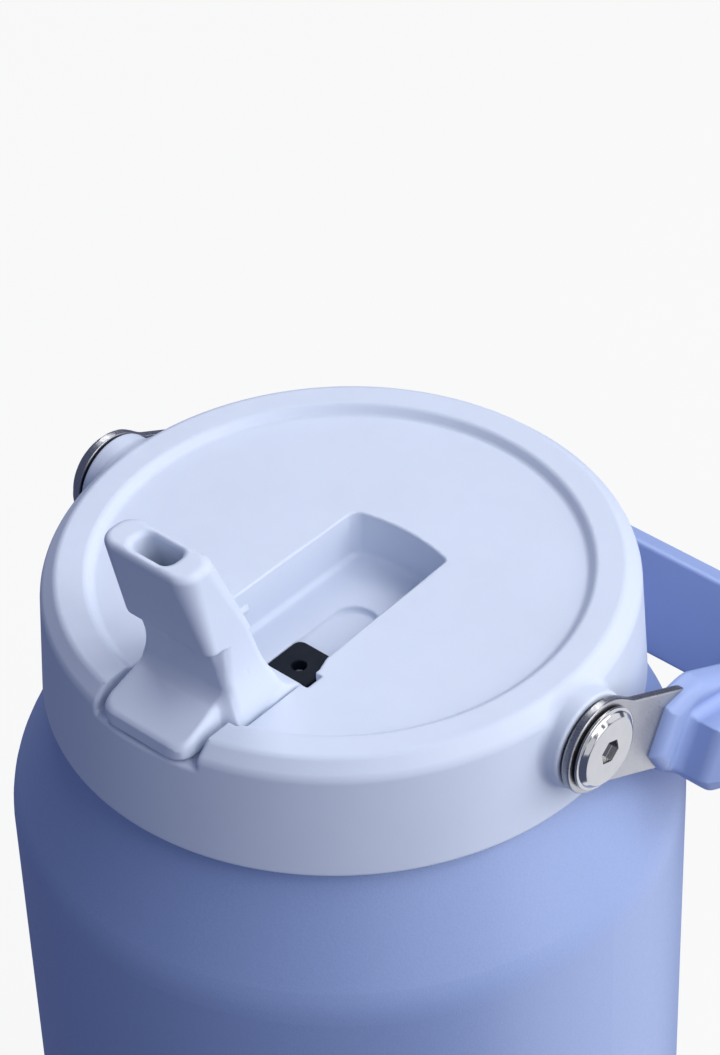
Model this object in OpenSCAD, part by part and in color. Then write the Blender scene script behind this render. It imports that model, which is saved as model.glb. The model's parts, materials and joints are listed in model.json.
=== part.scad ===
// Large insulated water jug with a screw lid, a flip spout and a swing handle.
// Frame: origin at the centre of the base, +Z up, +Y towards the resting handle,
// -Y towards the spout's thumb lever, X along the handle's pivot axis.

/* [Bottle] */
// Outside diameter of the bottle
body_d = 120; // [116:1:126]
// Height of the bottle up to the ledge under the lid
bottle_h = 208; // [150:1:260]
// Angle of the shoulder from the vertical
shoulder_angle = 24.5; // [20:0.5:28]
// Radius that blends the shoulder into the side
shoulder_blend = 15; // [10:1:20]
// Diameter at which the shoulder meets the ledge
ledge_d = 98.8; // [97:0.2:100]
// Outside diameter of the threaded neck
neck_d = 89; // [88.6:0.1:89.4]
// Height of the neck above the ledge
neck_h = 7.4; // [7.2:0.1:7.6]
// Thickness of the outer steel wall
shell_t = 0.8; // [0.6:0.1:1]
// Thickness of the inner steel wall
liner_t = 0.6; // [0.5:0.1:0.8]
// Width of the vacuum gap between the two walls
vacuum_gap = 3.5; // [3:0.1:5]
// Radius of the rounded bottom edge
base_edge_r = 4; // [3:0.5:6]

/* [Thread] */
// Rise of the thread in one turn
thread_pitch = 5; // [4.6:0.1:5.2]
// Length of each thread ridge in turns
thread_turns = 0.75; // [0.6:0.05:0.8]
// Depth of a thread ridge
thread_depth = 1.2; // [1:0.1:1.2]

/* [Lid] */
// Diameter of the lid's top
lid_d = 102.4; // [101:0.2:104]
// Height of the lid's skirt
lid_h = 23.3; // [23:0.1:25]
// How much the skirt's radius grows towards its lower edge
lid_flare = 1.4; // [0.5:0.1:2]
// Radius of the lid's rounded top edge
lid_edge_r = 3.6; // [2:0.1:4]
// Diameter of the sunk disc in the lid's top
dish_d = 85.4; // [80:0.2:88]
// Depth of the sunk disc
dish_depth = 1.6; // [1:0.1:2]
// Depth of the spout's recess below the lid's top
recess_depth = 11.3; // [11:0.1:11.6]
// Half width of the recess at the hinge
recess_half_front = 12.1; // [12:0.1:13]
// Half width of the recess at its closed end
recess_half_back = 10.5; // [10.4:0.1:11]
// Offset of the recess and the spout from the lid's centre
spout_x = 2.2; // [0:0.1:3]

/* [Spout] */
// Distance of the spout's hinge in front of the lid's centre
hinge_y = 29.5; // [29:0.1:30]
// Depth of the spout's hinge below the lid's top
hinge_drop = 6.5; // [6.3:0.1:6.7]
// Radius of the sealing drum round the hinge
drum_r = 5.6; // [5.4:0.1:5.8]
// Width of the mouthpiece
mouth_w = 19.5; // [18:0.5:20]
// Height of the mouthpiece above the lid's top
mouth_top = 33.2; // [30:0.2:34]

/* [Handle] */
// Depth of the handle's pivot axis below the lid's top
pivot_drop = 9.7; // [9.5:0.1:10]
// Angle below the horizontal at which the handle rests
handle_rest_angle = 27; // [26:0.5:27]
// Distance from the pivot to the inner face of the crossbar
grip_reach = 72; // [72:0.2:76]
// Thickness of the crossbar
grip_t = 6.4; // [6:0.2:9]
// Half height of the grip
grip_half_h = 9.9; // [9.5:0.1:9.9]
// How steeply the grip's top slopes down outwards
grip_slope = 0.5; // [0.3:0.05:0.6]
// Radius of the eye round each pivot screw
eye_r = 8.7; // [8:0.1:9]
// Width of the steel straps
strap_w = 15; // [13:0.5:16]

/* [Hidden] */
$fn = 96;

// Colours
paint_blue = [0.50, 0.58, 0.86];
lid_blue = [0.82, 0.86, 0.96];
handle_blue = [0.56, 0.63, 0.90];
steel = [0.80, 0.81, 0.82];
raw_steel = [0.66, 0.67, 0.69];
silicone = [0.14, 0.18, 0.23];
clear_plastic = [0.86, 0.89, 0.93];
foam_white = [0.93, 0.93, 0.90];
nylon = [0.30, 0.32, 0.34];
getter_grey = [0.35, 0.36, 0.38];

// Bottle
body_r = body_d / 2;
neck_r = neck_d / 2;
ledge_r = ledge_d / 2;
blend_x = body_r - shoulder_blend;
cone_r = blend_x + shoulder_blend * cos(shoulder_angle);
cone_z = bottle_h - (cone_r - ledge_r) / tan(shoulder_angle);
side_top = cone_z - shoulder_blend * sin(shoulder_angle);
ledge_edge_r = 1.5;
lip_z = bottle_h + neck_h;
liner_offset = shell_t + vacuum_gap;
liner_neck_r = neck_r - shell_t - 0.2;
foot_in_r = 48;
base_rise = 3;

// Lid heights, measured down from the lid's top
lid_gap = 1;
lid_top = bottle_h + lid_gap + lid_h;
lid_r = lid_d / 2;
skirt_r = lid_r + lid_flare;
cover_in_r = 48.6;
cover_t = 3;
pocket_floor_t = 2;
pocket_wall_t = 2.2;
pocket_bottom = recess_depth + pocket_floor_t;
plug_top = pocket_bottom + 0.2;
plate_t = 0.75;
flange_t = 1.1;
plug_in_r = 46.3;
plug_out_r = 48.4;
plate_r = 45.5;
plug_cup_r = 42.2;
plug_wall = 1.6;
plug_bottom = 33;
gasket_t = 1.4;
gasket_gap = 0.05;
fit_gap = 0.15;

// Recess in the lid
recess_arc_r = 36;
recess_arc_y = -21.5;
recess_front_y = -41.5;
recess_hinge_y = -21.6;
recess_waist_y = -18.6;
recess_waist_half = 11.1;
recess_end_y = 12;
notch_half = 10.9;
notch_depth = 5.2;
well_half = 4.7;
well_x = spout_x + 1.5;
well_front_y = -23;
well_back_y = -1.5;
well_depth = 1;
groove_back_y = -22.4;
groove_half_w = 1.3;
bump_y = -16;
bump_drop = 5.5;
bump_axis = 11.8;
bump_r = 1;
bump_len = 2.2;
pad_back_y = -10.6;
pad_front_y = -37;
pad_front_half = 6.6;
pad_top = recess_depth + 0.4;
vent_y = -15.5;
vent_r = 1.3;
valve_seat_r = 2.6;
valve_post_r = 4;
valve_lift = 6;

// Hinge of the spout
hinge_z = lid_top - hinge_drop;
drum_half = recess_half_front - 0.4;
trunnion_r = 2;
trunnion_len = 1.5;
trunnion_gap = 0.05;
drum_gap = 0.3;
port_y = -31.2;
port_r = 3.6;
straw_y = -31.2;
straw_r = 4;
straw_bore_r = 3.2;
nozzle_r = 5.2;
nozzle_wall = 1.5;
nozzle_bottom = 38;
socket_rim_t = 1.2;
socket_len = 11;
straw_top = 26;
straw_low_z = 14;
straw_notch_angle = 30;

// Spout standing up: places along Y, heights above the lid's top
mouth_front_y = -48.8;
mouth_back_y = -39.2;
mouth_edge_r = 2.4;
mouth_low = 15.6;
mouth_low_front_y = -45;
neck_back_y = -33.2;
neck_top = 14;
neck_front_y = -42.8;
neck_foot = -1;
neck_foot_front_y = -41.2;
neck_foot_back_y = -27.6;
neck_edge_r = 2.2;
neck_flare = 1.3;
lever_front_y = -51.8;
lever_back_y = -38;
lever_mid = -2.2;
lever_edge_r = 1.8;
sweep_front_y = -47.5;
sweep_axis_y = -50.2;
sweep_axis = 8.9;
sweep_r = 9.2;
collar_front_y = -41;
collar_back_y = -28;
collar_top = -2.4;
collar_low = -6;
collar_low_front_y = -36;
collar_low_back_y = -30;
collar_edge_r = 2;
bore_r = 2.15;
bore_mouth_half = 2.1;
bore_foot_half = 1.2;
bore_bottom = -14;

// Pivots of the handle, measured along X from the lid's centre
pivot_z = lid_top - pivot_drop;
boss_face = 54.3;
boss_root = 46;
boss_root_r = 4.4;
insert_r = 3;
insert_bore_r = 2;
washer_t = 0.5;
washer_step = 0.8;
outer_washer_t = 0.26;
strap_in = 54.95;
strap_t = 1.6;
strap_out = strap_in + strap_t;
head_in = 56.9;
head_t = 1.6;
head_rim_t = 0.6;
head_r = 7.6;
face_r = 6.35;
shoulder_r = 3.5;
bush_in_r = 3.56;
bush_out_r = 4.25;
hex_r = 2.3;
hex_depth = 1.3;

// Handle, in its own plane: X across, Y away from the pivot, Z up the grip's height
strap_len = 52;
frame_in = 53.4;
frame_out = 60.2;
frame_start = 16.8;
frame_end = grip_reach + grip_t / 2;
grip_out = 66.4;
grip_start = 24;
grip_point_low = -7.7;
grip_point_high = 2.2;
grip_rise = 31;
grip_drop = 4;
grip_corner_r = 16;
frame_corner_r = 11;
grip_inner_r = 9;
rivet_r = 2;
rivet_len = 5.6;
rivet_start = strap_in - 1;
seat_gap = 0.02;
rivet_places = [31, 44];

// Outline of the bottle's side, shoulder and ledge, moved inwards by t, from z = low
module bottle_outline(t, low) {
    c = max(ledge_edge_r - t, 0.6);
    base_r = max(base_edge_r - t, 0.6);
    blend_r = shoulder_blend - t;
    top_z = bottle_h - t;
    edge_x = cone_r - (t + c) / cos(shoulder_angle) - (top_z - c - cone_z) * tan(shoulder_angle);
    polygon([
        [0, low + base_r], [body_r - t, low + base_r], [body_r - t, side_top], [blend_x, side_top],
        [blend_x + blend_r * cos(shoulder_angle), side_top + blend_r * sin(shoulder_angle)],
        [edge_x + c * cos(shoulder_angle), top_z - c + c * sin(shoulder_angle)],
        [edge_x, top_z - c], [edge_x, top_z], [0, top_z]
    ]);
    translate([blend_x, side_top]) circle(r = blend_r);
    translate([edge_x, top_z - c]) circle(r = c);
    translate([0, low]) square([body_r - t - base_r, base_r + 1]);
    translate([body_r - t - base_r, low + base_r]) circle(r = base_r);
}

module outer_shell() {
    color(paint_blue) {
        rotate_extrude() difference() {
            union() {
                bottle_outline(0, 0);
                translate([0, bottle_h - 1]) square([neck_r, neck_h + 1 - liner_t]);
            }
            bottle_outline(shell_t, shell_t);
            translate([0, -1]) square([foot_in_r, shell_t + 2]);
            translate([0, bottle_h - shell_t - 1]) square([neck_r - shell_t, neck_h + 3]);
        }
        thread_ridge(neck_r - 0.3, thread_depth + 0.3, bottle_h + 1.9, 0);
    }
}

module inner_liner() {
    floor_z = liner_offset + shell_t;
    color(raw_steel) rotate_extrude() difference() {
        union() {
            bottle_outline(liner_offset, floor_z);
            translate([0, bottle_h - liner_offset - 1]) square([liner_neck_r, liner_offset + neck_h + 1]);
            translate([0, lip_z - liner_t]) square([neck_r, liner_t]);
        }
        bottle_outline(liner_offset + liner_t, floor_z + liner_t);
        translate([0, bottle_h - liner_offset - 2])
            square([liner_neck_r - liner_t, liner_offset + neck_h + 3]);
    }
}

// Domed plate that closes the bottle's underside, its rim on the foot's inner flange
module base_plate() {
    rim_r = foot_in_r + 3;
    color(paint_blue) rotate_extrude() polygon([
        [0, base_rise], [foot_in_r - 6, base_rise], [foot_in_r - 2, shell_t], [rim_r, shell_t],
        [rim_r, 2 * shell_t], [foot_in_r - 1.6, 2 * shell_t], [foot_in_r - 5.6, base_rise + shell_t],
        [0, base_rise + shell_t]
    ]);
}

module getter_disc() {
    color(getter_grey) translate([0, 0, base_rise + shell_t]) cylinder(r = 11, h = 1);
}

// Helical ridge with a trapezoid section; a negative depth points it inwards
module thread_ridge(r, depth, z, start) {
    steps = ceil(thread_turns * 36);
    root = 1.1;
    crest = 0.55;
    points = [for (i = [0:steps])
        let (a = start + i * 10, lift = z + thread_pitch * i / 36)
        for (p = [[r, -root], [r + depth, -crest], [r + depth, crest], [r, root]])
            [p[0] * cos(a), p[0] * sin(a), lift + p[1]]];
    last = 4 * steps;
    sides = [for (i = [0:steps - 1], k = [0:3])
        let (a = 4 * i + k, b = 4 * i + (k + 1) % 4)
        for (f = [[a, a + 4, b], [b, a + 4, b + 4]])
            depth < 0 ? f : [f[2], f[1], f[0]]];
    ends = depth < 0
        ? [[0, 1, 2], [0, 2, 3], [last, last + 2, last + 1], [last, last + 3, last + 2]]
        : [[0, 2, 1], [0, 3, 2], [last, last + 1, last + 2], [last, last + 2, last + 3]];
    polyhedron(points = points, faces = concat(sides, ends), convexity = 4);
}

module lid_gasket() {
    color(silicone) translate([0, 0, lip_z + gasket_gap]) difference() {
        cylinder(r = neck_r + 0.3, h = gasket_t);
        translate([0, 0, -1]) cylinder(r = liner_neck_r - liner_t + 0.1, h = gasket_t + 2);
    }
}

// Top view of the recess, grown outwards by g
module recess_outline(g) {
    right_side = [
        [recess_half_front + g, recess_front_y - g], [recess_half_front + g, recess_hinge_y],
        [recess_waist_half + g, recess_waist_y], [recess_half_back + g, recess_end_y],
        [recess_half_back + g, recess_end_y + 8 + g]
    ];
    translate([spout_x, 0]) intersection() {
        polygon(concat(right_side, [for (i = [4:-1:0]) [-right_side[i][0], right_side[i][1]]]));
        union() {
            translate([0, recess_arc_y]) circle(r = recess_arc_r + g);
            translate([-30, -60]) square([60, 60 + recess_arc_y]);
        }
    }
}

// Stadium-shaped well in the recess floor that holds the back of the seal
module well_outline(g) {
    translate([well_x - well_half - g, well_front_y])
        square([2 * (well_half + g), well_back_y - well_front_y]);
    translate([well_x, well_back_y]) circle(r = well_half + g);
}

// Top view of the seal, grown outwards by g
module pad_outline(g) {
    translate([well_x - well_half + 0.2 - g, well_front_y])
        square([2 * (well_half - 0.2 + g), pad_back_y - well_front_y + g]);
    translate([spout_x - pad_front_half - g, pad_front_y - g])
        square([2 * (pad_front_half + g), well_front_y - pad_front_y + 1 + 2 * g]);
}

module hinge_axis(r, half) {
    translate([spout_x - half, -hinge_y, hinge_z]) rotate([0, 90, 0]) cylinder(r = r, h = 2 * half);
}

module cover_profile() {
    flat_r = lid_r - lid_edge_r;
    difference() {
        union() {
            polygon([
                [0, 0], [flat_r, 0], [flat_r, -lid_edge_r], [lid_r, -lid_edge_r], [skirt_r, -lid_h], [0, -lid_h]
            ]);
            translate([flat_r, -lid_edge_r]) circle(r = lid_edge_r);
        }
        translate([0, -dish_depth]) square([dish_d / 2, dish_depth + 1]);
        translate([0, -lid_h - 1]) square([cover_in_r, lid_h + 1 - cover_t - dish_depth]);
    }
}

// Bosses that carry the handle's pivots
module pivot_bosses() {
    for (side = [-1, 1]) translate([0, 0, pivot_z]) rotate([0, 90 * side, 0]) {
        translate([0, 0, boss_root + 3]) cylinder(r = eye_r, h = boss_face - boss_root - 3);
        translate([0, 0, boss_root]) cylinder(r = boss_root_r, h = 5);
    }
}

// Floor of the rim's notch, in which the spout's thumb lever lies
module notch_floor() {
    block_half = notch_half + 2;
    floor_t = 2;
    translate([0, 0, lid_top - notch_depth - floor_t]) linear_extrude(height = floor_t + 0.5) intersection() {
        translate([spout_x - block_half, -lid_r]) square([2 * block_half, lid_r + recess_front_y]);
        circle(r = lid_r - 2);
    }
}

// Small bumps on the recess walls that hold the folded spout
module detent_bumps() {
    for (side = [-1, 1]) translate([spout_x + side * bump_axis, bump_y, lid_top - bump_drop])
        rotate([90, 0, 0]) cylinder(r = bump_r, h = bump_len, center = true);
}

module lid_cover() {
    color(lid_blue) {
        cut_cover();
        detent_bumps();
    }
}

// Cover with its recess, notch, hinge sockets, the grooves the hinge drops in by, and pivot bores
module cut_cover() {
    groove_front_y = groove_back_y - 2 * trunnion_r + 0.2;
    groove_z = hinge_z - trunnion_r;
    difference() {
        union() {
            translate([0, 0, lid_top]) rotate_extrude() cover_profile();
            translate([0, 0, lid_top - pocket_bottom])
                linear_extrude(height = pocket_bottom - 2.4) intersection() {
                    recess_outline(pocket_wall_t);
                    circle(r = lid_r - 2);
                }
            notch_floor();
            pivot_bosses();
        }
        translate([0, 0, lid_top - recess_depth]) linear_extrude(height = recess_depth + 1) recess_outline(0);
        hinge_axis(drum_r + drum_gap, drum_half + drum_gap);
        translate([spout_x - notch_half, -lid_r - 10, lid_top - notch_depth])
            cube([2 * notch_half, lid_r + 10 + recess_front_y + 1, notch_depth + 1]);
        translate([0, 0, lid_top - recess_depth - well_depth])
            linear_extrude(height = well_depth + 1) well_outline(0);
        translate([0, 0, lid_top - pocket_bottom - 1])
            linear_extrude(height = pocket_floor_t + 2) pad_outline(fit_gap);
        hinge_axis(trunnion_r + trunnion_gap, drum_half + trunnion_len + 0.3);
        for (side = [-1, 1])
            translate([spout_x + side * (recess_half_front + 0.4) - groove_half_w, 0, groove_z]) {
                translate([0, groove_front_y, 0])
                    cube([2 * groove_half_w, groove_back_y - groove_front_y, hinge_drop + trunnion_r + 1]);
                translate([0, -hinge_y, 0])
                    cube([2 * groove_half_w, hinge_y + groove_front_y + 1, 2 * trunnion_r]);
            }
        for (side = [-1, 1]) translate([0, 0, pivot_z]) rotate([0, 90 * side, 0])
            translate([0, 0, boss_root - 1]) cylinder(r = insert_r, h = boss_face - boss_root + 2);
    }
}

// Threaded ring, flange and insulated cup in one piece, open at the top
module lid_plug() {
    cup_z = lid_top - plug_bottom;
    flange_top = lid_top - plug_top - plate_t - 0.05;
    color(clear_plastic) difference() {
        union() {
            translate([0, 0, flange_top - flange_t]) cylinder(r = plug_out_r, h = flange_t);
            translate([0, 0, bottle_h + lid_gap + 0.3]) difference() {
                cylinder(r = plug_out_r, h = flange_top - bottle_h - lid_gap - 0.3);
                translate([0, 0, -1]) cylinder(r = plug_in_r, h = lid_h);
            }
            translate([0, 0, cup_z]) cylinder(r = plug_cup_r, h = flange_top - cup_z);
            thread_ridge(plug_in_r + 0.3, -thread_depth - 0.3, bottle_h + 1.9, 180);
            translate([spout_x, straw_y, lid_top - nozzle_bottom])
                cylinder(r = nozzle_r + nozzle_wall, h = nozzle_bottom - plug_bottom + 1);
        }
        translate([0, 0, cup_z + plug_wall]) difference() {
            cylinder(r = plug_cup_r - plug_wall, h = lid_h);
            translate([spout_x, straw_y, -1]) cylinder(r = nozzle_r + nozzle_wall, h = lid_h);
            translate([well_x, vent_y, -1]) cylinder(r = valve_post_r, h = lid_h);
        }
        translate([spout_x, straw_y, lid_top - nozzle_bottom - 1])
            cylinder(r = nozzle_r, h = nozzle_bottom - straw_top + 3);
        translate([spout_x, straw_y, lid_top - nozzle_bottom - 1]) cylinder(r = port_r, h = nozzle_bottom);
        translate([well_x, vent_y, cup_z - 1]) cylinder(r = vent_r, h = plug_bottom);
        translate([well_x, vent_y, cup_z + valve_lift]) cylinder(r = valve_seat_r, h = plug_bottom);
    }
}

// Disc welded over the plug's cup, with the straw's port and the vent through it
module lid_plate() {
    color(clear_plastic) translate([0, 0, lid_top - plug_top - plate_t]) difference() {
        cylinder(r = plate_r, h = plate_t);
        translate([spout_x, straw_y, -1]) cylinder(r = port_r, h = 3);
        translate([well_x, vent_y, -1]) cylinder(r = vent_r, h = 3);
    }
}

// Insulation in the plug's cup, round the straw's nozzle and the vent's post
module lid_foam() {
    foam_z = lid_top - plug_bottom + plug_wall + 0.1;
    foam_h = plug_bottom - plug_wall - plug_top - plate_t - 0.3;
    color(foam_white) difference() {
        translate([0, 0, foam_z]) cylinder(r = plug_cup_r - plug_wall - 0.1, h = foam_h);
        translate([spout_x, straw_y, foam_z - 1]) cylinder(r = nozzle_r + nozzle_wall + 0.1, h = foam_h + 2);
        translate([well_x, vent_y, foam_z - 1]) cylinder(r = valve_post_r + 0.1, h = foam_h + 2);
    }
}

// Pad in the recess floor that the drum turns on, with the straw's port and the vent
module spout_seal() {
    seal_z = lid_top - pocket_bottom - 0.1;
    color(silicone) difference() {
        translate([0, 0, seal_z]) linear_extrude(height = pocket_bottom + 0.1 - pad_top) pad_outline(0);
        hinge_axis(drum_r + 0.25, drum_half + 2);
        translate([spout_x, port_y, seal_z - 1]) cylinder(r = port_r, h = 5);
        translate([well_x, vent_y, seal_z - 1]) cylinder(r = vent_r, h = 5);
    }
}

// One-way valve: a disc under the cup, a stem through the vent and a bead that holds it
module vent_valve() {
    disc_r = 3.4;
    disc_t = 0.8;
    stem_r = 0.8;
    bead_r = 1.7;
    color(silicone) translate([well_x, vent_y, lid_top - plug_bottom]) {
        translate([0, 0, -disc_t - 0.1]) cylinder(r = disc_r, h = disc_t);
        translate([0, 0, -0.2]) cylinder(r = stem_r, h = valve_lift + 2);
        translate([0, 0, valve_lift + 0.1]) cylinder(r = bead_r, h = bead_r);
    }
}

// Grommet pressed into the nozzle, with a rim under it
module straw_socket() {
    color(silicone) translate([spout_x, straw_y, lid_top - nozzle_bottom - socket_rim_t]) difference() {
        union() {
            cylinder(r = nozzle_r - 0.02, h = socket_len + socket_rim_t);
            cylinder(r = nozzle_r + nozzle_wall, h = socket_rim_t - 0.05);
        }
        translate([0, 0, -1]) cylinder(r = straw_r + 0.02, h = socket_len + 3);
    }
}

// Straw with a slanted notch at its lower end
module straw() {
    color(clear_plastic) translate([spout_x, straw_y, straw_low_z]) difference() {
        cylinder(r = straw_r, h = lid_top - straw_top - 1 - straw_low_z);
        translate([0, 0, -1]) cylinder(r = straw_bore_r, h = lid_top);
        translate([0, 0, -5]) rotate([0, straw_notch_angle, 0]) cube([30, 12, 10], center = true);
    }
}

// Corner balls of a level slab: half width w, from y1 to y2, mid height z, corner radius r
module rounded_row(w, y1, y2, z, r) {
    for (x = [-1, 1], y = [y1 + r, y2 - r]) translate([x * (w - r), y, z]) sphere(r = r, $fn = 24);
}

// Mouthpiece and neck, thumb lever with its sweep up to the neck, and the collar over the drum
module spout_body() {
    half = mouth_w / 2;
    hull() {
        rounded_row(half, mouth_front_y, mouth_back_y, mouth_top - mouth_edge_r, mouth_edge_r);
        rounded_row(half + 0.6, mouth_low_front_y, neck_back_y, mouth_low, neck_edge_r);
    }
    hull() {
        rounded_row(half, neck_front_y, neck_back_y, neck_top, neck_edge_r);
        rounded_row(half + neck_flare, neck_foot_front_y, neck_foot_back_y, neck_foot, neck_edge_r);
    }
    difference() {
        translate([-half, sweep_front_y, lever_mid]) cube([mouth_w, 12, sweep_axis - lever_mid]);
        translate([-20, sweep_axis_y, sweep_axis]) rotate([0, 90, 0]) cylinder(r = sweep_r, h = 40);
    }
    hull() {
        rounded_row(notch_half - 0.7, lever_front_y, lever_back_y, lever_mid, lever_edge_r);
    }
    hull() {
        rounded_row(drum_half, collar_front_y, collar_back_y, collar_top, collar_edge_r);
        rounded_row(drum_half, collar_low_front_y, collar_low_back_y, collar_low, collar_edge_r);
    }
}

module flip_spout() {
    color(lid_blue) difference() {
        union() {
            translate([spout_x, 0, lid_top]) spout_body();
            hinge_axis(drum_r, drum_half);
            hinge_axis(trunnion_r, drum_half + trunnion_len);
        }
        translate([spout_x, 0, lid_top]) hull() {
            for (x = [-1, 1]) {
                translate([x * bore_mouth_half, -44.6, mouth_top]) cylinder(r = bore_r, h = 2, $fn = 32);
                translate([x * bore_foot_half, port_y, bore_bottom]) cylinder(r = bore_r, h = 1, $fn = 32);
            }
        }
    }
}

// Turns a part that is drawn upright so that it points outwards along the pivot axis on that side
module at_pivot(side) {
    translate([0, 0, pivot_z]) rotate([0, 90 * side, 0]) children();
}

// Blind threaded insert in the boss
module pivot_insert(side) {
    color(raw_steel) at_pivot(side) translate([0, 0, boss_root + 0.2]) difference() {
        cylinder(r = insert_r - 0.01, h = boss_face - boss_root - 0.3);
        translate([0, 0, 1]) cylinder(r = insert_bore_r, h = 10);
    }
}

// Shoulder screw: threaded shank, shoulder, and a flanged head with a hexagon socket
module pivot_screw(side) {
    shank_z = boss_root + 1.7;
    color(steel) at_pivot(side) difference() {
        union() {
            translate([0, 0, shank_z]) cylinder(r = insert_bore_r - 0.02, h = boss_face - shank_z + 0.1);
            translate([0, 0, boss_face + 0.05]) cylinder(r = shoulder_r, h = head_in - boss_face);
            translate([0, 0, head_in]) cylinder(r = head_r, h = head_rim_t);
            translate([0, 0, head_in + head_rim_t])
                cylinder(r1 = head_r - 0.3, r2 = face_r, h = head_t - head_rim_t);
        }
        translate([0, 0, head_in + head_t - hex_depth]) cylinder(r = hex_r, h = hex_depth + 1, $fn = 6);
    }
}

module inner_washer(side) {
    color(nylon) at_pivot(side) translate([0, 0, boss_face + 0.05]) difference() {
        cylinder(r = eye_r - washer_step, h = washer_t);
        translate([0, 0, -1]) cylinder(r = shoulder_r + 0.02, h = washer_t + 2);
    }
}

module outer_washer(side) {
    color(nylon) at_pivot(side) translate([0, 0, head_in - outer_washer_t - 0.01]) difference() {
        cylinder(r = head_r - washer_step, h = outer_washer_t);
        translate([0, 0, -1]) cylinder(r = shoulder_r + 0.02, h = outer_washer_t + 2);
    }
}

module pivot_bush(side) {
    color(nylon) at_pivot(side) translate([0, 0, strap_in]) difference() {
        cylinder(r = bush_out_r, h = strap_t);
        translate([0, 0, -1]) cylinder(r = bush_in_r, h = strap_t + 2);
    }
}

// Puts the handle's own plane at the pivot axis and turns it to its resting angle
module at_handle() {
    translate([0, 0, pivot_z]) rotate([-handle_rest_angle, 0, 0]) children();
}

// Steel strap with its pivot eye, lying in the plane of Y and Z
module strap_outline(holes) {
    difference() {
        union() {
            circle(r = eye_r);
            translate([0, -strap_w / 2]) square([strap_len, strap_w]);
        }
        if (holes) {
            circle(r = bush_out_r + 0.01);
            for (v = rivet_places) translate([v, 0]) circle(r = rivet_r + 0.01);
        }
    }
}

// Turns an outline drawn in the X-Y plane to face along X, its X axis along the handle
module facing_x(x, t) {
    translate([x, 0, 0]) rotate([90, 0, 90]) linear_extrude(height = t) children();
}

module handle_strap(side) {
    x = side > 0 ? strap_in : -strap_out;
    color(steel) at_handle() facing_x(x, strap_t) strap_outline(true);
}

module strap_rivets(side) {
    color(raw_steel) at_handle() for (v = rivet_places)
        translate([side * rivet_start, v, 0]) rotate([0, 90 * side, 0]) cylinder(r = rivet_r, h = rivet_len);
}

// Plan of a U: arms at x = +-half, ends at y = near, crossbar's far face at y = far
module u_plan(half, near, far, r) {
    translate([-half, near]) square([2 * half, far - r - near]);
    translate([-half + r, near]) square([2 * (half - r), far - near]);
    for (side = [-1, 1]) translate([side * (half - r), far - r]) circle(r = r);
}

module u_solid(half, near, far, r, half_h) {
    translate([0, 0, -half_h]) linear_extrude(height = 2 * half_h) u_plan(half, near, far, r);
}

// Inner half of the U: end collars with chamfered ends, slots for the straps, and half of the crossbar
module handle_frame() {
    point_half = 4.7;
    shoulder = 8;
    chamfer = 2;
    color(handle_blue) at_handle() difference() {
        intersection() {
            u_solid(frame_out, frame_start, frame_end, frame_corner_r, grip_half_h);
            facing_x(-grip_out, 2 * grip_out) polygon([
                [frame_start, -point_half], [frame_start, point_half],
                [frame_start + shoulder, grip_half_h], [frame_end + 1, grip_half_h],
                [frame_end + 1, -grip_half_h], [frame_start + shoulder, -grip_half_h]
            ]);
        }
        u_solid(frame_in, -1, grip_reach, grip_inner_r, grip_half_h + 1);
        facing_x(grip_inner_r - frame_in, 2 * (frame_in - grip_inner_r)) polygon([
            [grip_reach - 1, -grip_half_h - 1], [grip_reach + chamfer + 1, -grip_half_h - 1],
            [grip_reach - 1, -grip_half_h + chamfer + 1]
        ]);
        for (side = [-1, 1]) {
            facing_x(side > 0 ? strap_in - seat_gap : -strap_out - seat_gap, strap_t + 2 * seat_gap)
                strap_outline(false);
            for (v = rivet_places) translate([side * (rivet_start - 0.1), v, 0])
                rotate([0, 90 * side, 0]) cylinder(r = rivet_r + 0.01, h = rivet_len + 0.2);
        }
    }
}

// Outer half of the U: a raised pad on each arm, with a sloping front and top, and half of the crossbar
module handle_grip() {
    far = grip_reach + grip_t;
    slope_reach = grip_out + 2 - frame_out;
    color(handle_blue) at_handle() difference() {
        intersection() {
            u_solid(grip_out, grip_start, far, grip_corner_r, grip_half_h);
            facing_x(-grip_out - 1, 2 * grip_out + 2) polygon([
                [grip_start, grip_point_low], [grip_start, grip_point_high],
                [grip_start + grip_rise, grip_half_h], [far + 1, grip_half_h],
                [far + 1, -grip_half_h], [grip_start + grip_drop, -grip_half_h]
            ]);
            rotate([90, 0, 0]) translate([0, 0, -far - 1]) linear_extrude(height = far + 1) polygon([
                [-grip_out - 2, -grip_half_h - 1], [grip_out + 2, -grip_half_h - 1],
                [grip_out + 2, grip_half_h - grip_slope * slope_reach],
                [frame_out - 2, grip_half_h + 2 * grip_slope],
                [2 - frame_out, grip_half_h + 2 * grip_slope],
                [-grip_out - 2, grip_half_h - grip_slope * slope_reach]
            ]);
        }
        u_solid(frame_out + 0.01, -1, frame_end + 0.01, frame_corner_r, grip_half_h + 1);
    }
}

outer_shell();
inner_liner();
base_plate();
getter_disc();
lid_gasket();
lid_cover();
lid_plug();
lid_plate();
lid_foam();
spout_seal();
vent_valve();
straw_socket();
straw();
flip_spout();
pivot_insert(-1);  // pivot_insert_left
pivot_insert(1);  // pivot_insert_right
pivot_screw(-1);  // pivot_screw_left
pivot_screw(1);  // pivot_screw_right
inner_washer(-1);  // inner_washer_left
inner_washer(1);  // inner_washer_right
outer_washer(-1);  // outer_washer_left
outer_washer(1);  // outer_washer_right
pivot_bush(-1);  // pivot_bush_left
pivot_bush(1);  // pivot_bush_right
handle_strap(-1);  // handle_strap_left
handle_strap(1);  // handle_strap_right
strap_rivets(-1);  // strap_rivets_left
strap_rivets(1);  // strap_rivets_right
handle_frame();
handle_grip();
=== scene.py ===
import json
import math

import bpy
import numpy as np
from mathutils import Matrix, Vector


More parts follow.
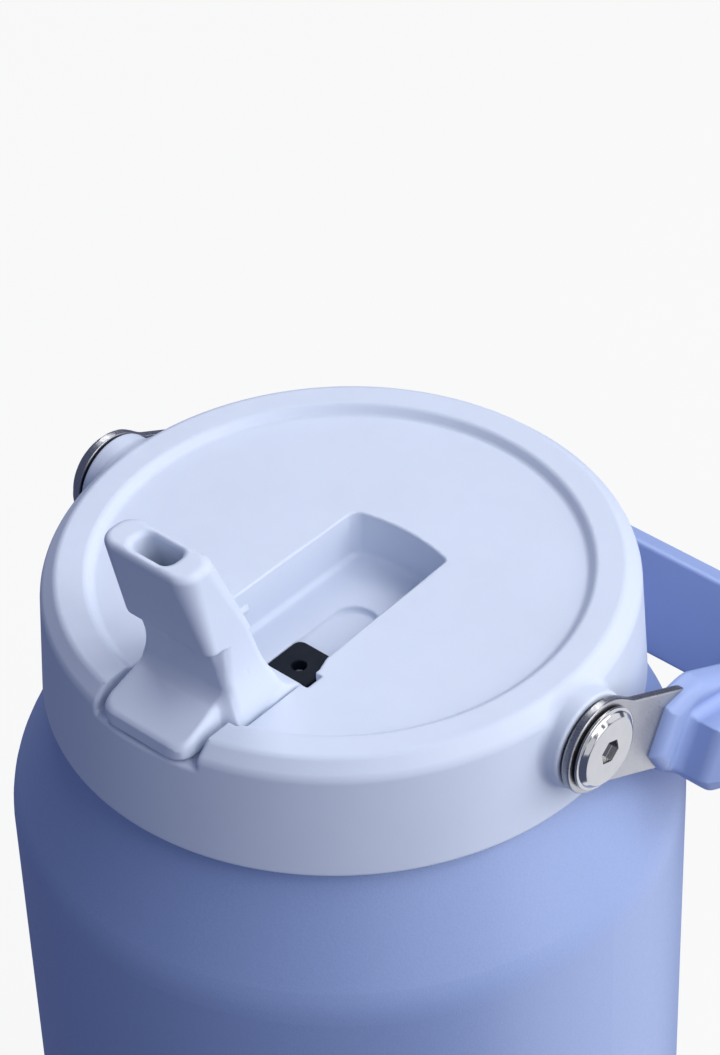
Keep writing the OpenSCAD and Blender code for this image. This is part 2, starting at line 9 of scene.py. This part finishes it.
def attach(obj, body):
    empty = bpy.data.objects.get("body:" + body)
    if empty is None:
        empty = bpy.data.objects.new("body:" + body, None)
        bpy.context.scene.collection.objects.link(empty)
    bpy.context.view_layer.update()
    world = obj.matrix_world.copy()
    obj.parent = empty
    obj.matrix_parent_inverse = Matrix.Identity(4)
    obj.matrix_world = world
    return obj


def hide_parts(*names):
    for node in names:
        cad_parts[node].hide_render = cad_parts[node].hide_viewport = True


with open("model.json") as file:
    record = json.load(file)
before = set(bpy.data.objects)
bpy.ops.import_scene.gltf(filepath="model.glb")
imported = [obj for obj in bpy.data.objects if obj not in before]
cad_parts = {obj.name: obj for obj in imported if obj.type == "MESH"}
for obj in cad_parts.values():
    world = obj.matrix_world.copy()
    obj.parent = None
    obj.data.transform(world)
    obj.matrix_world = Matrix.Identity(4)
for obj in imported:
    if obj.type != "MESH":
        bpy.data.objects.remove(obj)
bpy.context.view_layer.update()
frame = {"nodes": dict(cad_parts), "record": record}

MM = 0.001
SLANT_45 = 0.707
# Heights and places of the CAD frame, in millimetres
LID_TOP = 232.3
PIVOT_Z = LID_TOP - 9.7
REST_ANGLE = math.radians(27)
SPOUT_X = 2.2


# ---------------------------------------------------------------- camera, floor and light
def look_from(position, target, roll, lens):
    data = bpy.data.cameras.new("camera")
    data.sensor_fit = "AUTO"
    data.sensor_width = 36
    data.lens = lens
    data.clip_start = 0.01
    data.clip_end = 20
    cam = bpy.data.objects.new("camera", data)
    bpy.context.scene.collection.objects.link(cam)
    forward = (target - position).normalized()
    right = forward.cross(Vector((0, 0, 1))).normalized()
    up = right.cross(forward)
    c, s = math.cos(roll), math.sin(roll)
    right, up = right * c + up * s, up * c - right * s
    cam.matrix_world = Matrix.Translation(position) @ Matrix(
        (right, up, -forward)).transposed().to_4x4()
    bpy.context.scene.camera = cam


def area_light(name, position, target, size, power, colour=(1, 1, 1), size_y=None):
    data = bpy.data.lights.new(name, "AREA")
    data.shape = "RECTANGLE"
    data.size = size
    data.size_y = size_y or size
    data.energy = power
    data.color = colour
    lamp = bpy.data.objects.new(name, data)
    bpy.context.scene.collection.objects.link(lamp)
    position, target = Vector(position), Vector(target)
    lamp.matrix_world = Matrix.Translation(position) @ (target - position).to_track_quat(
        "-Z", "Y").to_matrix().to_4x4()
    return lamp


LID_CENTRE = Vector((0, 0, LID_TOP * MM))
VIEW_AZIMUTH, VIEW_ELEVATION = math.radians(43.0), math.radians(40.25)
CAMERA_DISTANCE = 0.6308
back = Vector((math.sin(VIEW_AZIMUTH) * math.cos(VIEW_ELEVATION),
               -math.cos(VIEW_AZIMUTH) * math.cos(VIEW_ELEVATION), math.sin(VIEW_ELEVATION)))
view_right = Vector((math.cos(VIEW_AZIMUTH), math.sin(VIEW_AZIMUTH), 0))
view_up = view_right.cross(-back)
AIM_RIGHT, AIM_UP = 0.0057, 0.0087
aim = (-back + view_right * AIM_RIGHT + view_up * AIM_UP).normalized()
camera_at = LID_CENTRE + back * CAMERA_DISTANCE
look_from(camera_at, camera_at + aim, math.radians(-2.20), 126.56)


def toward(azimuth, elevation, distance):
    """Point in that direction from the lid, its azimuth counted from the camera's side to the right."""
    a, e = VIEW_AZIMUTH + math.radians(azimuth), math.radians(elevation)
    direction = Vector((math.sin(a) * math.cos(e), -math.cos(a) * math.cos(e), math.sin(e)))
    return LID_CENTRE + distance * direction


LAMP_SIZE, LAMP_DISTANCE = 0.9, 1.6
# Azimuth and elevation in degrees, and power in watts
LAMPS = [
    (20, 12, 2.5),
    (60, 12, 6.2),
    (100, 12, 3.4),
    (0, 45, 0.8),
    (45, 45, 8.8),
    (90, 45, 9.9),
    (180, 45, 8.8)]
for azimuth, elevation, power in LAMPS:
    name = "soft_%d_%d" % (azimuth, elevation)
    area_light(name, toward(azimuth, elevation, LAMP_DISTANCE), LID_CENTRE, LAMP_SIZE, power)

# Light that the pale floor sends up to the shiny surfaces on the right
CARD_X, CARD_Y, CARD_Z = 0.63, 0.58, 0.001
card = area_light("floor_card", (CARD_X, CARD_Y, CARD_Z), (CARD_X, CARD_Y, 1), 1.14, 5.0, size_y=1.2)
card.visible_diffuse = False

SKY_COLOUR, SKY_STRENGTH = (0.49, 0.58, 1, 1), 0.27
world = bpy.data.worlds.new("studio")
bpy.context.scene.world = world
world.use_nodes = True
sky = world.node_tree.nodes["Background"]
sky.inputs["Color"].default_value = SKY_COLOUR
sky.inputs["Strength"].default_value = SKY_STRENGTH
bpy.context.scene.view_settings.view_transform = "Standard"


# ---------------------------------------------------------------- materials
def new_material(name, colour, roughness, metallic=0.0, **sockets):
    material = bpy.data.materials.new(name)
    material.use_nodes = True
    shader = material.node_tree.nodes["Principled BSDF"]
    shader.inputs["Base Color"].default_value = (*colour, 1)
    shader.inputs["Roughness"].default_value = roughness
    shader.inputs["Metallic"].default_value = metallic
    for key, value in sockets.items():
        shader.inputs[key.replace("_", " ")].default_value = value
    material.diffuse_color = (*colour, 1)
    return material, shader


def node(material, kind, **values):
    made = material.node_tree.nodes.new(kind)
    for key, value in values.items():
        setattr(made, key, value)
    return made


def noise(material, scale, detail=3.0, stretch=(1, 1, 1)):
    """Noise in object space, in metres, so that its grain keeps the same size on every piece."""
    links = material.node_tree.links
    place = node(material, "ShaderNodeTexCoord")
    mapping = node(material, "ShaderNodeMapping")
    mapping.inputs["Scale"].default_value = stretch
    texture = node(material, "ShaderNodeTexNoise")
    texture.inputs["Scale"].default_value = scale
    texture.inputs["Detail"].default_value = detail
    links.new(place.outputs["Object"], mapping.inputs["Vector"])
    links.new(mapping.outputs["Vector"], texture.inputs["Vector"])
    return texture.outputs["Fac"]


def spread(material, value, low, high):
    """Noise, most of which lies between 0.3 and 0.7, mapped to low..high."""
    ramp = node(material, "ShaderNodeMapRange")
    ramp.inputs["From Min"].default_value = 0.3
    ramp.inputs["From Max"].default_value = 0.7
    ramp.inputs["To Min"].default_value = low
    ramp.inputs["To Max"].default_value = high
    material.node_tree.links.new(value, ramp.inputs["Value"])
    return ramp.outputs["Result"]


def tint(material, value, first, second):
    mix = node(material, "ShaderNodeMix", data_type="RGBA")
    mix.inputs["A"].default_value = (*first, 1)
    mix.inputs["B"].default_value = (*second, 1)
    material.node_tree.links.new(spread(material, value, 0, 1), mix.inputs["Factor"])
    return mix.outputs["Result"]


def bump(material, shader, value, distance):
    made = node(material, "ShaderNodeBump")
    made.inputs["Distance"].default_value = distance
    material.node_tree.links.new(value, made.inputs["Height"])
    material.node_tree.links.new(made.outputs["Normal"], shader.inputs["Normal"])


def shade(colour, factor):
    return tuple(min(1.0, c * factor) for c in colour)


def moulded(name, colour, roughness, grain=0.00001, specular=0.35):
    """Satin moulded plastic: fine spark-eroded grain, and slightly uneven gloss and colour."""
    material, shader = new_material(name, colour, roughness, Specular_IOR_Level=specular)
    links = material.node_tree.links
    links.new(tint(material, noise(material, 60), shade(colour, 0.985), shade(colour, 1.015)),
              shader.inputs["Base Color"])
    links.new(spread(material, noise(material, 400), roughness - 0.05, roughness + 0.05),
              shader.inputs["Roughness"])
    bump(material, shader, noise(material, 2500, 2), grain)
    return material


def powder_coat(name, colour):
    """Powder coat: a fine even pebble grain with a soft gloss."""
    material, shader = new_material(name, colour, 0.42, Specular_IOR_Level=0.95)
    links = material.node_tree.links
    links.new(tint(material, noise(material, 2600, 3), shade(colour, 0.955), shade(colour, 1.045)),
              shader.inputs["Base Color"])
    links.new(spread(material, noise(material, 1500), 0.38, 0.48), shader.inputs["Roughness"])
    bump(material, shader, noise(material, 2800, 3), 0.00003)
    return material


def steel(name, colour, roughness, stretch=(1, 1, 1)):
    """Steel, with fine lines at right angles to an axis that has a stretch above 1."""
    material, shader = new_material(name, colour, roughness, 1.0)
    links = material.node_tree.links
    links.new(tint(material, noise(material, 300), shade(colour, 0.97), shade(colour, 1.03)),
              shader.inputs["Base Color"])
    lines = noise(material, 1500, 5, stretch)
    links.new(spread(material, lines, roughness * 0.7, roughness * 1.4), shader.inputs["Roughness"])
    bump(material, shader, lines, 0.000002)
    return material


BODY_BLUE = (0.268, 0.36, 0.625)
LID_BLUE = (0.64, 0.70, 0.815)
HANDLE_BLUE = (0.325, 0.42, 0.71)
FINISHES = {
    "powder_coat": powder_coat("powder_coat", BODY_BLUE),
    "lid_plastic": moulded("lid_plastic", LID_BLUE, 0.5),
    "handle_plastic": moulded("handle_plastic", HANDLE_BLUE, 0.4),
    "polished_steel": steel("polished_steel", (0.44, 0.44, 0.435), 0.12, (1, 1, 8)),
    "satin_steel": steel("satin_steel", (0.36, 0.36, 0.37), 0.32, (1, 1, 8)),
    "raw_steel": steel("raw_steel", (0.6, 0.6, 0.61), 0.3, (1, 1, 6)),
    "getter": steel("getter", (0.12, 0.12, 0.13), 0.6),
    "silicone": moulded("silicone", (0.006, 0.010, 0.018), 0.6, specular=0.12),
    "clear_plastic": moulded("clear_plastic", (0.72, 0.78, 0.88), 0.3),
    "foam": moulded("foam", (0.85, 0.85, 0.8), 0.9, 0.0002),
    "nylon": moulded("nylon", (0.05, 0.055, 0.06), 0.45),
}

for part in frame["record"]["subparts"]:
    piece = frame["nodes"][part["node"]]
    piece.data.materials.clear()
    piece.data.materials.append(FINISHES[part["material_slot"]])


# ---------------------------------------------------------------- shapes as distance fields, in millimetres
def join(a, b, r):
    """Union of two fields, with a fillet of radius r."""
    return np.maximum(r, np.minimum(a, b)) - np.hypot(np.maximum(r - a, 0), np.maximum(r - b, 0))


def both(a, b, r):
    """Intersection of two fields, its edge rounded to radius r."""
    return np.minimum(-r, np.maximum(a, b)) + np.hypot(np.maximum(r + a, 0), np.maximum(r + b, 0))


def cut(a, b, r):
    """Field a without b, the edge rounded to radius r."""
    return both(a, -b, r)


def slab(c, low, high):
    """Field of the space where a coordinate is between low and high."""
    return np.abs(c - (low + high) / 2) - (high - low) / 2


def polygon(u, v, corners):
    """Exact distance to a polygon."""
    nearest = np.full(u.shape, 1e9, u.dtype)
    sign = np.ones(u.shape, u.dtype)
    for (x0, y0), (x1, y1) in zip(corners[-1:] + corners[:-1], corners):
        ex, ey = x0 - x1, y0 - y1
        wx, wy = u - x1, v - y1
        t = np.clip((wx * ex + wy * ey) / (ex * ex + ey * ey), 0, 1)
        nearest = np.minimum(nearest, (wx - ex * t) ** 2 + (wy - ey * t) ** 2)
        above, under, left = v >= y1, v < y0, ex * wy > ey * wx
        sign = np.where((above & under & left) | ~(above | under | left), -sign, sign)
    return sign * np.sqrt(nearest)


def ease(c, low, high):
    """0 below low, 1 above high, and smooth between."""
    t = np.clip((c - low) / (high - low), 0, 1)
    return t * t * (3 - 2 * t)


CORNERS = np.array([(i, j, k) for i in (0, 1) for j in (0, 1) for k in (0, 1)])
CELL_EDGES = [(a, b) for a in range(8) for b in range(a + 1, 8) if np.abs(CORNERS[a] - CORNERS[b]).sum() == 1]


def net(field, low, high, step):
    """Points and quads of the closed surface where the field is 0, with one point in each cell it crosses."""
    axes = [np.arange(a - 1.5 * step, b + 2.5 * step, step, dtype=np.float32) for a, b in zip(low, high)]
    values = np.concatenate([
        field(*np.meshgrid(part, axes[1], axes[2], indexing="ij"))
        for part in np.array_split(axes[0], max(1, len(axes[0]) // 24))])
    inside = values < 0
    nx, ny, nz = (n - 1 for n in inside.shape)
    count = sum(inside[i:nx + i, j:ny + j, k:nz + k].astype(np.int8) for i, j, k in CORNERS)
    active = (count > 0) & (count < 8)
    cells = np.argwhere(active)
    index = np.full(active.shape, -1, np.int64)
    index[active] = np.arange(len(cells))
    at = np.stack([values[tuple((cells + c).T)] for c in CORNERS], 1)
    total, crossings = np.zeros((len(cells), 3)), np.zeros(len(cells))
    for a, b in CELL_EDGES:
        crossed = (at[:, a] < 0) != (at[:, b] < 0)
        t = at[crossed, a] / (at[crossed, a] - at[crossed, b])
        total[crossed] += CORNERS[a] + t[:, None] * (CORNERS[b] - CORNERS[a])
        crossings[crossed] += 1
    origin = np.array([a[0] for a in axes])
    points = origin + (cells + total / crossings[:, None]) * step
    quads = []
    for axis in range(3):
        side_u, side_v = np.eye(3, dtype=int)[(axis + 1) % 3], np.eye(3, dtype=int)[(axis + 2) % 3]
        here = inside[tuple(slice(0, -1) if k == axis else slice(1, -1) for k in range(3))]
        there = inside[tuple(slice(1, None) if k == axis else slice(1, -1) for k in range(3))]
        edges = np.argwhere(here != there)
        outward = here[tuple(edges.T)]
        edges = edges + 1 - np.eye(3, dtype=int)[axis]
        ring = np.stack([index[tuple((edges - back_by).T)]
                         for back_by in (side_u + side_v, side_v, 0 * side_u, side_u)], 1)
        ring[~outward] = ring[~outward][:, ::-1]
        quads.append(ring)
    return points, np.concatenate(quads)


def slope(field, points, reach=0.02):
    """Gradient of the field at the points."""
    moved = [(field(*(points + reach * e).T) - field(*(points - reach * e).T)) / (2 * reach)
             for e in np.eye(3)]
    return np.stack(moved, 1)


def settle(field, points, most):
    """Pulls the points onto the surface, each by no more than most at a time."""
    for _ in range(3):
        gradient = slope(field, points)
        push = gradient * (field(*points.T) / np.maximum((gradient ** 2).sum(1), 0.2))[:, None]
        length = np.linalg.norm(push, axis=1, keepdims=True)
        points = points - push * np.minimum(1, most / np.maximum(length, 1e-9))
    return points


def mesh_object(name, points, faces, material):
    """Mesh of equal-sided faces, from points in millimetres."""
    mesh = bpy.data.meshes.new(name)
    faces = np.asarray(faces)
    mesh.vertices.add(len(points))
    mesh.vertices.foreach_set("co", (points * MM).astype(np.float32).ravel())
    mesh.loops.add(faces.size)
    mesh.loops.foreach_set("vertex_index", faces.astype(np.int32).ravel())
    mesh.polygons.add(len(faces))
    mesh.polygons.foreach_set("loop_start", np.arange(0, faces.size, faces.shape[1], dtype=np.int32))
    mesh.update(calc_edges=True)
    mesh.validate()
    mesh.materials.append(material)
    made = bpy.data.objects.new(name, mesh)
    bpy.context.scene.collection.objects.link(made)
    return made


def thin_out(made, ratio):
    """Fewer faces where the surface is plain."""
    decimate = made.modifiers.new("thin", "DECIMATE")
    decimate.ratio = ratio
    graph = bpy.context.evaluated_depsgraph_get()
    mesh = bpy.data.meshes.new_from_object(made.evaluated_get(graph))
    made.modifiers.clear()
    made.data = mesh


def carve(name, field, low, high, step, slot, body, nodes, ratio=0.4):
    """A smooth closed piece from its field, riding on a body in place of the CAD nodes it stands for."""
    points, quads = net(field, low, high, step)
    made = mesh_object(name, settle(field, points, step / 2), quads, FINISHES[slot])
    if ratio < 1:
        thin_out(made, ratio)
    mesh = made.data
    points = np.empty(len(mesh.vertices) * 3, np.float32)
    mesh.vertices.foreach_get("co", points)
    points = settle(field, points.reshape(-1, 3).astype(float) / MM, step / 4)
    mesh.vertices.foreach_set("co", (points * MM).astype(np.float32).ravel())
    normals = slope(field, points, 0.05)
    normals /= np.maximum(np.linalg.norm(normals, axis=1, keepdims=True), 1e-9)
    mesh.polygons.foreach_set("use_smooth", np.ones(len(mesh.polygons), bool))
    mesh.normals_split_custom_set_from_vertices(normals)
    mesh.update()
    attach(made, body)
    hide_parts(*nodes)
    return made


# ---------------------------------------------------------------- lid
# h is the height over the lid's top, s the distance sideways from the spout, r the distance from the axis
LID_R, LID_FLARE, LID_H, LID_CHAMFER = 51.2, 1.4, 23.3, 2.5
SKIRT_INNER_R, SKIRT_TOP = 48.6, -4.6
DISH_R, DISH_DEPTH = 42.2, 1.6
RECESS_FRONT, RECESS_FRONT_HALF, RECESS_BACK_HALF = -41.5, 12.1, 10.5
RECESS_ARC_Y, RECESS_ARC_R = -21.5, 36
RECESS_DEPTH, POCKET_DEPTH, POCKET_WALL = 11.3, 13.3, 2.2
NOTCH_HALF, NOTCH_FLOOR = 10.9, -4.8
BOSS_R, BOSS_END, BOSS_HOLE_R = 8.9, 54.3, 3
HINGE_Y, HINGE_DROP = -29.5, -6.5
WELL_X = SPOUT_X + 1.5
LEVER_X = SPOUT_X - 0.6


def recess_plan(s, y):
    """Top view of the spout's recess, wider at the hinge, with its far end on a wide arc."""
    right = [(RECESS_FRONT_HALF, RECESS_FRONT), (RECESS_FRONT_HALF, -21.6), (11.1, -18.6),
             (RECESS_BACK_HALF, 12.0), (RECESS_BACK_HALF, 30.0)]
    sides = polygon(s, y, right + [(-u, v) for u, v in right[::-1]])
    far = np.where(y > RECESS_ARC_Y, np.hypot(s, y - RECESS_ARC_Y) - RECESS_ARC_R, -RECESS_ARC_R)
    return both(sides, far, np.where(s < 0, 1.6, 0.8))


def stadium(s, y, half, near, far):
    """Slot along y with round ends."""
    return np.hypot(s, y - np.clip(y, near, far)) - half


def lid_field(x, y, z):
    """Lid with its sunk disc, spout recess, rim notch, pivot bosses, hinge slots and detent nubs."""
    h, s, r = z - LID_TOP, x - SPOUT_X, np.hypot(x, y)
    wall = r - LID_R + h * LID_FLARE / LID_H
    cover = both(both(wall, (r - LID_R + h + LID_CHAMFER) * SLANT_45, 0.6), h, 0.45)
    cover = both(cover, -h - LID_H, 0.7)
    dish_wall = ((r - DISH_R) * 1.6 - (h + DISH_DEPTH) * 1.3) / 2.06
    cover = cut(cover, both(dish_wall, -h - DISH_DEPTH, 0.4), 0.4)
    cover = cut(cover, both(r - SKIRT_INNER_R, h - SKIRT_TOP, 0.6), 0.5)

    plan = recess_plan(s, y)
    within_skirt = r - SKIRT_INNER_R - 0.6
    pocket = both(both(plan - POCKET_WALL, slab(h, -POCKET_DEPTH, -2.4), 0.3), within_skirt, 0.3)
    floor = both(both(slab(s, -13.4, 12.5), slab(h, -7.2, SKIRT_TOP), 0.3),
                 both(slab(y, -60, RECESS_FRONT), within_skirt, 0.3), 0.3)
    cover = np.minimum(np.minimum(cover, pocket), floor)

    along, around = np.abs(x), np.hypot(y, z - PIVOT_Z)
    boss = both(both(around - BOSS_R, along - BOSS_END, 0.6), 48 - along, 0.3)
    cover = join(cover, boss, 1.2)
    cover = cut(cover, both(around - BOSS_HOLE_R, 45 - along, 0.1), 0.1)

    cover = cut(cover, both(plan, slab(h, -RECESS_DEPTH, 8), 1.2), 0.35)
    notch_sides = both(slab(x - LEVER_X, -NOTCH_HALF, NOTCH_HALF), slab(h, NOTCH_FLOOR, 8), 0.5)
    notch = both(notch_sides, slab(y, -70, -40.5), 0.3)
    cover = cut(cover, notch, np.where(r > SKIRT_INNER_R, 0.8, 0.35))
    well = both(stadium(x - WELL_X, y, 4.6, -30, -1.5), -h - RECESS_DEPTH - 1.0, 0.9)
    cover = cut(cover, well, 0.35)
    seat = np.minimum(both(slab(x - WELL_X, -4.65, 4.65), slab(y, -30, -10.05), 1.2),
                      both(slab(s, -6.75, 6.75), slab(y, -37.2, -22), 0.5))
    cover = cut(cover, both(seat, slab(h, -15, -10), 0.1), 0.1)

    axle = np.hypot(y - HINGE_Y, h - HINGE_DROP)
    cover = cut(cover, both(axle - 5.9, np.abs(s) - 12.0, 0.1), 0.1)
    cover = cut(cover, both(axle - 2.05, np.abs(s) - 13.5, 0.1), 0.1)
    groove = both(slab(np.abs(s), 11.2, 13.6), slab(y, -26.2, -22.6), 0.4)
    cover = cut(cover, both(groove, slab(h, -8.5, 8), 0.2), 0.3)
    nub_y = np.maximum(np.abs(y + 15.6) - 0.8, 0)
    nub = np.sqrt((np.abs(s) - 11.0) ** 2 + nub_y ** 2 + (h + 5.8) ** 2) - 0.65
    return join(cover, nub, 0.2)


# ---------------------------------------------------------------- spout
MOUTH_HALF, MOUTH_TOP, MOUTH_LOW = 9.75, 33.2, 14.2
LEVER_FRONT, LEVER_LOW, NECK_FRONT, NECK_REAR = -51.7, -4.3, -40.5, -27.6
DRUM_R, DRUM_HALF, AXLE_R, AXLE_HALF = 5.6, 11.7, 2, 13.2


def spout_field(x, y, z):
    """Mouthpiece over a flared neck, with the thumb lever in front and the drum on its axle."""
    h, s = z - LID_TOP, np.abs(x - SPOUT_X)
    front = -((y + 47.8) + 0.262 * (h - 29.1)) / 1.034
    rear = ((y + 39.7) + 0.3725 * (h - 30.9)) / 1.067
    corner = np.interp(h, [16, 32], [1.8, 3.4]).astype(h.dtype)
    head = both(both(np.maximum(front, rear), s - MOUTH_HALF, corner), h - MOUTH_TOP, 1.5)
    lip = (0.8 - 0.75 * ease(y, -41.5, -39.5)).astype(h.dtype)
    head = both(head, MOUTH_LOW - h, lip)

    neck = polygon(y, h, [(-42.6, 18.0), (-41.9, 13.6), (-40.9, 9.0), (NECK_FRONT, 4.4), (NECK_FRONT, -6.0),
                          (NECK_REAR, -6.0), (NECK_REAR, -3.0), (-31.1, 5.3), (-35.2, 18.0)])
    lever = polygon(y, h, [(LEVER_FRONT, LEVER_LOW), (LEVER_FRONT, -1.3), (-40.4, 2.9), (-34.0, 2.9),
                           (-34.0, LEVER_LOW)])
    side = join(neck, lever, 2.2)
    flare = MOUTH_HALF + 1.95 * (1 - ease(h, -3.5, 8.5))
    flare -= 0.8 * (1 - ease(y, -41.5, -38.8)) * ease(h, -2, 2)
    narrow = 8.75 + 1.05 * (1 - ease(h, -1.5, 6.5))
    blend = ease(y, -41.9, -40.1)
    across = np.abs(x - LEVER_X - blend * (SPOUT_X - LEVER_X)) - narrow - blend * (flare - narrow)
    across = across.astype(h.dtype)
    body = both(both(side, across, 1.3), both(across, LEVER_FRONT - y, 4.0), 1.3)

    from_axle = np.hypot(y - HINGE_Y, h - HINGE_DROP)
    drum = both(from_axle - DRUM_R, s - DRUM_HALF, 0.9)
    axle = both(from_axle - AXLE_R, s - AXLE_HALF, 0.2)
    spout = np.minimum(np.minimum(join(body, drum, 1.0), head), axle)

    centre = -44.6 + (MOUTH_TOP - h) * 0.284
    channel = both(s - 4.3, np.abs(y - centre) * 0.962 - 2.2, 1.7)
    spout = cut(spout, channel, 1.2)
    dent = np.sqrt(((s - 10.2) * 1.2) ** 2 + ((y + 35.8) * 1.6) ** 2 + ((h - 6.7) * 0.6) ** 2) - 0.8
    return np.where(x > SPOUT_X, cut(spout, dent, 0.25), spout)


def seal_field(x, y, z):
    """Silicone pad in the recess floor, hollowed under the drum, with the straw's hole and the vent."""
    h, s, w = z - LID_TOP, x - SPOUT_X, x - WELL_X
    back_part = both(slab(w, -4.5, 4.5), slab(y, -25, -10.2), 1.5)
    front_part = both(slab(s, -6.6, 6.6), slab(y, -37, -22), 0.5)
    pad = both(np.minimum(back_part, front_part), slab(h, -13.4, -11.2), 0.25)
    pad = cut(pad, np.hypot(y - HINGE_Y, h - HINGE_DROP) - 5.85, 0.1)
    pad = cut(pad, np.hypot(s, y + 31.2) - 3.6, 0.1)
    return cut(pad, np.hypot(w, y + 15.3) - 1.3, 0.2)


# ---------------------------------------------------------------- handle and pivots
def in_handle(y, z):
    """Distance from the pivot along the handle, and height across it."""
    z = z - PIVOT_Z
    c, s = math.cos(REST_ANGLE), math.sin(REST_ANGLE)
    return y * c - z * s, y * s + z * c


GRIP_HALF_H, PAST_GRIP = 9.9, 95
CORE_OUT, CORE_END, INNER_OUT, INNER_END = 60.2, 75, 53.4, 72
GRIP_OUT, GRIP_END = 66.4, 78.4
COLLAR_START, COLLAR_FULL, GRIP_START = 16.8, 24.8, 25.5
STRAP_IN, STRAP_OUT, EYE_R, EYE_HOLE_R = 54.95, 56.55, 8.6, 4.26


def handle_field(x, y, z):
    """U-shaped core with a collar over each strap's end, and the thicker grip outside it."""
    a = np.abs(x)
    v, w = in_handle(y, z)
    height = np.abs(w) - GRIP_HALF_H
    start = polygon(v, w, [(COLLAR_START, -4.7), (COLLAR_START, 4.7), (COLLAR_FULL, GRIP_HALF_H),
                           (PAST_GRIP, GRIP_HALF_H), (PAST_GRIP, -GRIP_HALF_H), (COLLAR_FULL, -GRIP_HALF_H)])
    front = polygon(v, w, [(GRIP_START, -7.7), (GRIP_START, 2.2), (55, GRIP_HALF_H),
                           (PAST_GRIP, GRIP_HALF_H), (PAST_GRIP, -GRIP_HALF_H), (28.5, -GRIP_HALF_H)])
    groove = (1.6 + np.exp(-((front - 1.6) / 1.6) ** 2)) * ease(front, -1.5, 1) * (1 - ease(v, 40, 60))
    core = both(both(both(a - CORE_OUT + groove, v - CORE_END, 11), height, 3.0), start, 2.4)
    slant = ((w - GRIP_HALF_H) + 0.5 * (a - 60.5)) / 1.118
    chamfer = (a - 63.3 + front) * SLANT_45
    grip = both(both(both(a - GRIP_OUT, v - GRIP_END, 16), height, 1.4), slant, 1.6)
    grip = both(grip, both(front, chamfer, 0.8), 0.9)
    grip = np.maximum(grip, np.minimum(57.5 - a, 68 - v))
    handle = join(core, grip, np.interp(v, [30, 60], [0.4, 0.3]).astype(v.dtype))
    inner = both(a - INNER_OUT, v - INNER_END, 9)
    return cut(handle, inner, 1.3)


def strap_field(x, y, z):
    """Flat strap with a round eye."""
    v, w = in_handle(y, z)
    outline = join(np.hypot(v, w) - EYE_R, both(slab(v, 0, 52), np.abs(w - 0.15) - 7.5, 0.5), 1.5)
    strap = both(outline, slab(np.abs(x), STRAP_IN, STRAP_OUT), 0.3)
    return cut(strap, np.hypot(v, w) - EYE_HOLE_R, 0.1)


HEAD_R, HEAD_LOW, HEAD_TOP, FLANGE_R = 7.1, 57.2, 58.5, 7.6
SOCKET_HALF, SOCKET_ANGLES = 2.0, np.radians([10, 70, 130])


def screw_field(x, y, z):
    """Shoulder screw: flanged head with a chamfer and a hexagon socket, shoulder and shank."""
    a = np.abs(x)
    z = z - PIVOT_Z
    r = np.hypot(y, z)
    flange = both(r - FLANGE_R, slab(a, 56.9, 57.45), 0.2)
    wall = both(r - HEAD_R + (a - 57.4) * 0.25, slab(a, HEAD_LOW, HEAD_TOP), 0.12)
    crown = both(wall, ((r - 6.1) + (a - HEAD_TOP)) * SLANT_45, 0.2)
    shoulder = both(r - 3.5, slab(a, 54.35, HEAD_LOW), 0.05)
    shank = both(r - 1.98, slab(a, 47.7, 55), 0.05)
    screw = np.minimum(join(flange, crown, 0.1), np.minimum(shoulder, shank))
    across = [np.abs(y * math.cos(k) + z * math.sin(k)) for k in SOCKET_ANGLES]
    hexagon = np.max(across, 0) - SOCKET_HALF
    return cut(screw, both(hexagon, slab(a, HEAD_LOW, 62), 0.05), 0.12)


# ---------------------------------------------------------------- pieces, each with the box that holds it
carve("lid_cover_moulded", lid_field, (-55, -53, 208), (55, 53, 233), 0.42,
      "lid_plastic", "lid", ["lid_cover"], 0.5)
carve("flip_spout_moulded", spout_field, (-11.5, -53, 219), (16, -22, 266), 0.35,
      "lid_plastic", "spout", ["flip_spout"], 0.5)
carve("spout_seal_moulded", seal_field, (-5, -38, 218.5), (9.5, -10, 221.5), 0.25,
      "silicone", "lid", ["spout_seal"])
carve("handle_moulded", handle_field, (-67, 5, 170), (67, 78, 226), 0.6,
      "handle_plastic", "handle", ["handle_frame", "handle_grip"], 0.5)
SCREW_REACH = 9.5
for side, word in ((-1, "left"), (1, "right")):
    low, high = sorted((side * 54.5, side * 57))
    carve("strap_" + word, strap_field, (low, -10, 192), (high, 52, 232), 0.3,
          "satin_steel", "handle", ["handle_strap_" + word])
    low, high = sorted((side * 47.5, side * 59))
    carve("screw_" + word, screw_field, (low, -SCREW_REACH, PIVOT_Z - SCREW_REACH),
          (high, SCREW_REACH, PIVOT_Z + SCREW_REACH), 0.14,
          "polished_steel", "lid", ["pivot_screw_" + word], 0.8)


# ---------------------------------------------------------------- floor
FLOOR_HALF = 3.0
FLOOR_DARK, FLOOR_LIGHT = (0.06, 0.06, 0.06), (0.065, 0.065, 0.065)


def make_floor():
    """Pale floor with a little light of its own, like a lit studio sweep."""
    corners = [(-FLOOR_HALF, -FLOOR_HALF, 0), (FLOOR_HALF, -FLOOR_HALF, 0),
               (FLOOR_HALF, FLOOR_HALF, 0), (-FLOOR_HALF, FLOOR_HALF, 0)]
    mesh = bpy.data.meshes.new("floor")
    mesh.from_pydata(corners, [], [(0, 1, 2, 3)])
    floor = bpy.data.objects.new("floor", mesh)
    bpy.context.scene.collection.objects.link(floor)
    material, shader = new_material("pale_floor", FLOOR_DARK, 0.8, Specular_IOR_Level=0.0,
                                    Emission_Color=(1, 1, 1, 1), Emission_Strength=0.89)
    material.node_tree.links.new(tint(material, noise(material, 3), FLOOR_DARK, FLOOR_LIGHT),
                                 shader.inputs["Base Color"])
    mesh.materials.append(material)
    floor.visible_diffuse = False
    floor.visible_glossy = False


make_floor()
